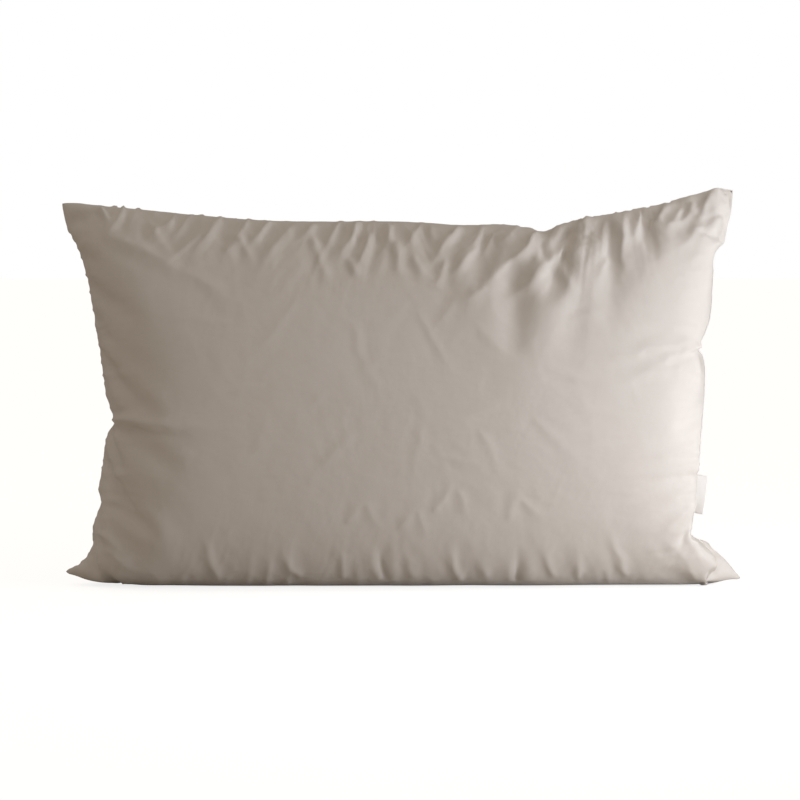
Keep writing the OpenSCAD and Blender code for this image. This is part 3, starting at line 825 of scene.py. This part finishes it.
# --------------------------------------------------------------- the label
def label():
    """A woven tape folded in two, its ends caught in the seam, a little twisted."""
    ply = 0.00026
    rows = 49
    # middle line of the tape across the seam, from one raw end round the fold to the other
    xs = [-0.0086, -0.006, -0.004, -0.0025, -0.0012, 0.0, 0.0008, 0.002, 0.0035, 0.0055, 0.0075, 0.0092, 0.0104, 0.0112]
    ys = [0.20, 0.20, 0.20, 0.20, 0.20, 0.20, 0.21, 0.24, 0.29, 0.34, 0.36, 0.35, 0.31, 0.24]
    half = [(x, -y / 1000) for x, y in zip(xs, ys)]
    tip = [(0.01158, -0.00013), (0.0117, 0.0), (0.01158, 0.00013)]
    mid = np.array(half + tip + [(x, -y) for x, y in half[::-1]])
    tan = unit(np.gradient(mid, axis=0))
    nor = np.c_[tan[:, 1], -tan[:, 0]]
    loop = np.vstack([mid + nor * ply / 2, (mid - nor * ply / 2)[::-1]])
    m = len(loop)
    rng = np.random.default_rng(5)
    V = []
    for r in range(rows):
        t = r / (rows - 1)                       # 0 lower end, 1 upper end
        z = (t - 0.5) * LABEL_L
        turn = math.radians(-38) * (1 - t) ** 1.6 + math.radians(4) * math.sin(3.1 * t)
        sag = 0.0004 * math.sin(2.2 * math.pi * t)
        for x, y in loop:
            f = min(max((x - 0.0007) / 0.004, 0), 1)
            f = f * f * (3 - 2 * f)
            a = turn * f
            q = max(x - 0.0007, 0)
            px = x if x < 0.0007 else 0.0007 + q * math.cos(a) - y * math.sin(a) * f
            py = y if x < 0.0007 else q * math.sin(a) + y * math.cos(a) + sag * f
            pz = z * (1 + 0.012 * math.sin(x * 420) * f) - 0.0016 * f * q / 0.011 * 0.5
            V.append(LABEL_AT + LX * px + LY * py + LZ * pz)
    V = np.array(V)
    Q = []
    for r in range(rows - 1):
        for k in range(m):
            l = (k + 1) % m
            Q.append((r * m + k, r * m + l, (r + 1) * m + l, (r + 1) * m + k))
    h = len(mid)
    for k in range(h - 1):
        a, b, c, d = k, k + 1, m - 2 - k, m - 1 - k
        Q.append((b, a, d, c))
        top = (rows - 1) * m
        Q.append((top + a, top + b, top + c, top + d))
    ob = add_mesh("label_tape", V, Q)
    s = np.r_[0, np.cumsum(np.linalg.norm(np.diff(mid, axis=0), axis=1))]
    around_s = np.r_[s, s[::-1] + 0.0003]
    uv = np.array([(around_s[k], r / (rows - 1) * LABEL_L) for r in range(rows) for k in range(m)])
    put_uv(ob, uv)
    return ob


tape = label()


# --------------------------------------------------------------- materials
def material(name, rough, sheen=0.0):
    m = bpy.data.materials.new(name)
    m.use_nodes = True
    t = m.node_tree
    t.nodes.clear()
    out = t.nodes.new("ShaderNodeOutputMaterial")
    b = t.nodes.new("ShaderNodeBsdfPrincipled")
    b.inputs["Roughness"].default_value = rough
    b.inputs["Specular IOR Level"].default_value = 0.25
    if sheen:
        b.inputs["Sheen Weight"].default_value = sheen
        b.inputs["Sheen Roughness"].default_value = 0.4
    t.links.new(b.outputs[0], out.inputs[0])
    return m, t, b


def node(t, kind, **kw):
    n = t.nodes.new(kind)
    for k, v in kw.items():
        if k in n.inputs:
            n.inputs[k].default_value = v
        else:
            setattr(n, k, v)
    return n


def mixed(t, fac, a, b):
    n = t.nodes.new("ShaderNodeMix")
    n.data_type = "RGBA"
    if isinstance(fac, float):
        n.inputs[0].default_value = fac
    else:
        t.links.new(fac, n.inputs[0])
    for i, c in ((6, a), (7, b)):
        if isinstance(c, tuple):
            n.inputs[i].default_value = (*c, 1)
        else:
            t.links.new(c, n.inputs[i])
    return n.outputs[2]


def maths(t, op, a, b=None, c=None):
    n = t.nodes.new("ShaderNodeMath")
    n.operation = op
    for i, x in enumerate((a, b, c)):
        if x is None:
            continue
        if isinstance(x, (int, float)):
            n.inputs[i].default_value = x
        else:
            t.links.new(x, n.inputs[i])
    return n.outputs[0]


def ramp(t, fac, lo, hi):
    n = t.nodes.new("ShaderNodeMapRange")
    n.inputs["From Min"].default_value = lo
    n.inputs["From Max"].default_value = hi
    t.links.new(fac, n.inputs["Value"])
    return n.outputs["Result"]


def weave(t, uv, pitch):
    """Plain weave as a height from 0 to 1: warp and weft pass over each other in turn."""
    sep = t.nodes.new("ShaderNodeSeparateXYZ")
    t.links.new(uv, sep.inputs[0])
    k = math.pi / pitch
    su = maths(t, "SINE", maths(t, "MULTIPLY", sep.outputs[0], k))
    sv = maths(t, "SINE", maths(t, "MULTIPLY", sep.outputs[1], k))
    par = maths(t, "MULTIPLY", su, sv)
    warp = maths(t, "ABSOLUTE", su)
    weft = maths(t, "ABSOLUTE", sv)
    up = ramp(t, par, -0.25, 0.25)
    over = t.nodes.new("ShaderNodeMix")
    over.data_type = "FLOAT"
    t.links.new(up, over.inputs[0])
    t.links.new(warp, over.inputs[2])
    t.links.new(weft, over.inputs[3])
    return over.outputs[0]


def cloth_material(name, tint):
    m, t, b = material(name, 0.86, 0.12)
    uvn = node(t, "ShaderNodeUVMap", uv_map="Cloth")
    uv = uvn.outputs[0]
    # yarns differ a little in colour and thickness, each one along its whole length
    def yarns(sx, sy, seed):
        mp = node(t, "ShaderNodeMapping")
        mp.inputs["Scale"].default_value = (sx, sy, 1)
        mp.inputs["Location"].default_value = (seed, seed * 0.7, 0)
        t.links.new(uv, mp.inputs[0])
        n = node(t, "ShaderNodeTexNoise", Scale=1.0, Detail=3.0, Roughness=0.6)
        t.links.new(mp.outputs[0], n.inputs["Vector"])
        return n.outputs["Fac"]
    warp = yarns(2600, 45, 3.1)
    weft = yarns(40, 2400, 9.7)
    obj = node(t, "ShaderNodeTexCoord").outputs["Object"]
    def cloud(scale, detail, off):
        mp = node(t, "ShaderNodeMapping")
        mp.inputs["Location"].default_value = (off, off * 1.7, off * 0.3)
        t.links.new(obj, mp.inputs[0])
        n = node(t, "ShaderNodeTexNoise", Scale=scale, Detail=detail, Roughness=0.55)
        t.links.new(mp.outputs[0], n.inputs["Vector"])
        return n.outputs["Fac"]
    big, small = cloud(7.0, 3.0, 1.3), cloud(60.0, 4.0, 5.2)
    base = tuple(tint)
    dark = tuple(c * k for c, k in zip(tint, (0.965, 0.955, 0.94)))
    lite = tuple(min(1, c * k) for c, k in zip(tint, (1.02, 1.022, 1.03)))
    col = mixed(t, ramp(t, big, 0.36, 0.66), dark, base)
    col = mixed(t, maths(t, "MULTIPLY", ramp(t, small, 0.45, 0.8), 0.5), col, lite)
    # fine flecks of seed husk that unbleached cotton keeps
    fl = node(t, "ShaderNodeTexVoronoi", Scale=260.0)
    t.links.new(uv, fl.inputs["Vector"])
    fleck = ramp(t, fl.outputs["Distance"], 0.10, 0.03)
    gate = ramp(t, cloud(150.0, 1.0, 8.8), 0.66, 0.72)
    col = mixed(t, maths(t, "MULTIPLY", maths(t, "MULTIPLY", fleck, gate), 0.35), col, tuple(c * 0.62 for c in tint))
    grain = node(t, "ShaderNodeTexNoise", Scale=820.0, Detail=2.0, Roughness=0.6)
    t.links.new(uv, grain.inputs["Vector"])
    col = mixed(t, maths(t, "MULTIPLY", ramp(t, grain.outputs["Fac"], 0.35, 0.7), 0.55), col, dark)
    yarn = maths(t, "ADD", maths(t, "MULTIPLY", warp, 0.5), maths(t, "MULTIPLY", weft, 0.5))
    col = mixed(t, maths(t, "MULTIPLY", ramp(t, yarn, 0.35, 0.65), 0.35), col, lite)
    t.links.new(col, b.inputs["Base Color"])
    rough = maths(t, "ADD", 0.82, maths(t, "MULTIPLY", yarn, 0.1))
    t.links.new(rough, b.inputs["Roughness"])
    # relief: crumple, slubs, weave
    crumple = cloud(38.0, 5.0, 2.6)
    b1 = node(t, "ShaderNodeBump", Strength=0.55, Distance=0.0012)
    t.links.new(crumple, b1.inputs["Height"])
    b2 = node(t, "ShaderNodeBump", Strength=0.5, Distance=0.00012)
    t.links.new(yarn, b2.inputs["Height"])
    t.links.new(b1.outputs[0], b2.inputs["Normal"])
    b3 = node(t, "ShaderNodeBump", Strength=0.4, Distance=0.00006)
    t.links.new(weave(t, uv, 0.00028), b3.inputs["Height"])
    t.links.new(b2.outputs[0], b3.inputs["Normal"])
    t.links.new(b3.outputs[0], b.inputs["Normal"])
    return m


def down_material():
    m, t, b = material("Down", 0.95, 0.4)
    b.inputs["Specular IOR Level"].default_value = 0.1
    obj = node(t, "ShaderNodeTexCoord").outputs["Object"]
    v = node(t, "ShaderNodeTexVoronoi", Scale=70.0)
    n = node(t, "ShaderNodeTexNoise", Scale=180.0, Detail=6.0, Roughness=0.7)
    t.links.new(obj, v.inputs["Vector"])
    t.links.new(obj, n.inputs["Vector"])
    t.links.new(mixed(t, n.outputs["Fac"], (0.86, 0.84, 0.79), (0.96, 0.95, 0.92)), b.inputs["Base Color"])
    b1 = node(t, "ShaderNodeBump", Strength=0.8, Distance=0.004)
    t.links.new(v.outputs["Distance"], b1.inputs["Height"])
    b2 = node(t, "ShaderNodeBump", Strength=0.7, Distance=0.0012)
    t.links.new(n.outputs["Fac"], b2.inputs["Height"])
    t.links.new(b1.outputs[0], b2.inputs["Normal"])
    t.links.new(b2.outputs[0], b.inputs["Normal"])
    return m


def thread_material():
    m, t, b = material("Thread", 0.7, 0.2)
    obj = node(t, "ShaderNodeTexCoord").outputs["Object"]
    w = node(t, "ShaderNodeTexWave", Scale=900.0, Distortion=2.0, Detail=2.0)
    w.bands_direction = "DIAGONAL"
    t.links.new(obj, w.inputs["Vector"])
    t.links.new(mixed(t, w.outputs["Fac"], (0.76, 0.72, 0.66), (0.87, 0.84, 0.79)), b.inputs["Base Color"])
    bp = node(t, "ShaderNodeBump", Strength=0.6, Distance=0.0001)
    t.links.new(w.outputs["Fac"], bp.inputs["Height"])
    t.links.new(bp.outputs[0], b.inputs["Normal"])
    return m


def label_material():
    m, t, b = material("Label_tape", 0.55, 0.15)
    uvn = node(t, "ShaderNodeUVMap", uv_map="Cloth")
    uv = uvn.outputs[0]
    sep = node(t, "ShaderNodeSeparateXYZ")
    t.links.new(uv, sep.inputs[0])
    # satin floats run along the tape, with a tight border at both cut ends
    rib = maths(t, "SINE", maths(t, "MULTIPLY", sep.outputs[1], 2 * math.pi / 0.00042))
    fil = maths(t, "SINE", maths(t, "MULTIPLY", sep.outputs[0], 2 * math.pi / 0.0009))
    n = node(t, "ShaderNodeTexNoise", Scale=900.0, Detail=3.0)
    t.links.new(uv, n.inputs["Vector"])
    h = maths(t, "ADD", maths(t, "MULTIPLY", rib, 0.5), maths(t, "MULTIPLY", maths(t, "MULTIPLY", fil, rib), 0.3))
    h = maths(t, "ADD", h, n.outputs["Fac"])
    edge = maths(t, "MINIMUM", sep.outputs[1], maths(t, "SUBTRACT", LABEL_L, sep.outputs[1]))
    border = ramp(t, edge, 0.0016, 0.0009)
    col = mixed(t, n.outputs["Fac"], (0.84, 0.82, 0.79), (0.93, 0.92, 0.90))
    col = mixed(t, maths(t, "MULTIPLY", border, 0.4), col, (0.76, 0.74, 0.70))
    t.links.new(col, b.inputs["Base Color"])
    bp = node(t, "ShaderNodeBump", Strength=0.5, Distance=0.00008)
    t.links.new(h, bp.inputs["Height"])
    t.links.new(bp.outputs[0], b.inputs["Normal"])
    return m


CLOTH_TINT = (0.80, 0.765, 0.72)
cloth_front = cloth_material("Cotton_percale", CLOTH_TINT)
for ob in (front_cloth, back_cloth):
    ob.data.materials.append(cloth_front)
down.data.materials.append(down_material())
thread = thread_material()
for ob in (stitches, overlocked, closed):
    ob.data.materials.append(thread)
tape.data.materials.append(label_material())

# ----------------------------------------------------- bodies
for ob, nodes, sl in ((front_cloth, ["front_panel"], "casing"), (back_cloth, ["back_panel"], "casing"), (down, ["fill"], "fill"),
                      (stitches, ["seam_thread"], "thread"), (overlocked, ["overlock_thread"], "thread"),
                      (closed, ["closing_stitch"], "thread")):
    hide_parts(*nodes)
    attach(ob, "pillow")
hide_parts("label_tail", "label_flap")
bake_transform(tape)

# ------------------------------------------------------------ floor, light
floor_me = bpy.data.meshes.new("Floor")
R = 30.0
floor_me.from_pydata([(-R, -R, 0), (R, -R, 0), (R, R, 0), (-R, R, 0)], [], [(0, 1, 2, 3)])
floor = bpy.data.objects.new("Floor", floor_me)
bpy.context.scene.collection.objects.link(floor)
fm, ft, fb = material("Floor_pale", 0.9)
fb.inputs["Base Color"].default_value = (0.60, 0.60, 0.60, 1)
fb.inputs["Emission Color"].default_value = (1, 1, 1, 1)
fb.inputs["Emission Strength"].default_value = 0.80
# what the floor throws back at the pillow is that of a pale matt table top
back_light = ft.nodes.new("ShaderNodeBsdfDiffuse")
back_light.inputs["Color"].default_value = (0.66, 0.62, 0.57, 1)
ray = ft.nodes.new("ShaderNodeLightPath")
pick = ft.nodes.new("ShaderNodeMixShader")
ft.links.new(ray.outputs["Is Camera Ray"], pick.inputs[0])
ft.links.new(back_light.outputs[0], pick.inputs[1])
ft.links.new(fb.outputs[0], pick.inputs[2])
ft.links.new(pick.outputs[0], [n for n in ft.nodes if n.type == "OUTPUT_MATERIAL"][0].inputs[0])
floor.data.materials.append(fm)

ROOM = [(0, 90, 0.43, 1.5), (-60, 0, 0.12, 1.5), (20, 0, 0.06, 1.5)]
ROOM_EVEN = 0.0
ROOM_COLOR = (1.13, 1.0, 0.87)
LAMPS = [("Key", 58, -3, 2.82, (0.35, 0.30), 0.92), ("Key_high", 68, 30, 0.57, (0.30, 0.30), 0.80),
         ("Key_low", 56, -19.6, 0.06, (0.16, 0.05), 0.536)]

scene = bpy.context.scene
scene.view_settings.view_transform = "Standard"
scene.view_settings.look = "None"

world = bpy.data.worlds.new("Studio")
scene.world = world
world.use_nodes = True
wt = world.node_tree
wt.nodes.clear()
wo = wt.nodes.new("ShaderNodeOutputWorld")
amb = wt.nodes.new("ShaderNodeBackground")
seen = wt.nodes.new("ShaderNodeBackground")
seen.inputs["Color"].default_value = (1, 1, 1, 1)
seen.inputs["Strength"].default_value = 1.0
direction = wt.nodes.new("ShaderNodeTexCoord").outputs["Generated"]


def toward(azimuth, elevation):
    a, e = math.radians(azimuth), math.radians(elevation)
    return Vector((math.sin(a) * math.cos(e), -math.cos(a) * math.cos(e), math.sin(e)))


# the light of the room: broad soft lobes (azimuth, elevation, strength, focus)
total = None
for az, elev, strength, focus in ROOM:
    dot = wt.nodes.new("ShaderNodeVectorMath")
    dot.operation = "DOT_PRODUCT"
    dot.inputs[1].default_value = toward(az, elev)
    wt.links.new(direction, dot.inputs[0])
    e = maths(wt, "MULTIPLY", maths(wt, "POWER", math.e, maths(wt, "MULTIPLY", maths(wt, "SUBTRACT", dot.outputs["Value"], 1.0), focus)), strength)
    total = e if total is None else maths(wt, "ADD", total, e)
total = maths(wt, "ADD", total, ROOM_EVEN)
amb.inputs["Color"].default_value = (*ROOM_COLOR, 1)
wt.links.new(total, amb.inputs["Strength"])
lp = wt.nodes.new("ShaderNodeLightPath")
mx = wt.nodes.new("ShaderNodeMixShader")
wt.links.new(lp.outputs["Is Camera Ray"], mx.inputs[0])
wt.links.new(amb.outputs[0], mx.inputs[1])
wt.links.new(seen.outputs[0], mx.inputs[2])
wt.links.new(mx.outputs[0], wo.inputs[0])


def lamp(name, azimuth, elevation, power, size, color, dist=3.0, aim=(0, 0, 0.22)):
    """A soft box.  Azimuth 0 is in front of the pillow and 90 on its right."""
    l = bpy.data.lights.new(name, "AREA")
    l.shape = "RECTANGLE"
    l.size, l.size_y = size
    l.energy = power
    l.color = color
    o = bpy.data.objects.new(name, l)
    d = toward(azimuth, elevation)
    o.location = Vector(aim) + d * dist
    o.rotation_euler = d.to_track_quat("Z", "Y").to_euler()
    scene.collection.objects.link(o)
    o.visible_camera = False
    return o


for name, az, elev, power, size, dist in LAMPS:
    lamp(name, az, elev, power, size, (0.975, 1.0, 1.07), dist)

# ------------------------------------------------------------------ camera
DIST, ELEV = 2.8, math.radians(3.5)
cam_data = bpy.data.cameras.new("Camera")
cam_data.sensor_width = 36.0
cam_data.lens = 36.0 * DIST / 0.912
camera = bpy.data.objects.new("Camera", cam_data)
aim = Vector((-0.004, 0, 0.212))
back = Vector((0, -math.cos(ELEV), math.sin(ELEV)))
camera.location = aim + back * DIST
camera.rotation_euler = back.to_track_quat("Z", "Y").to_euler()
scene.collection.objects.link(camera)
scene.camera = camera

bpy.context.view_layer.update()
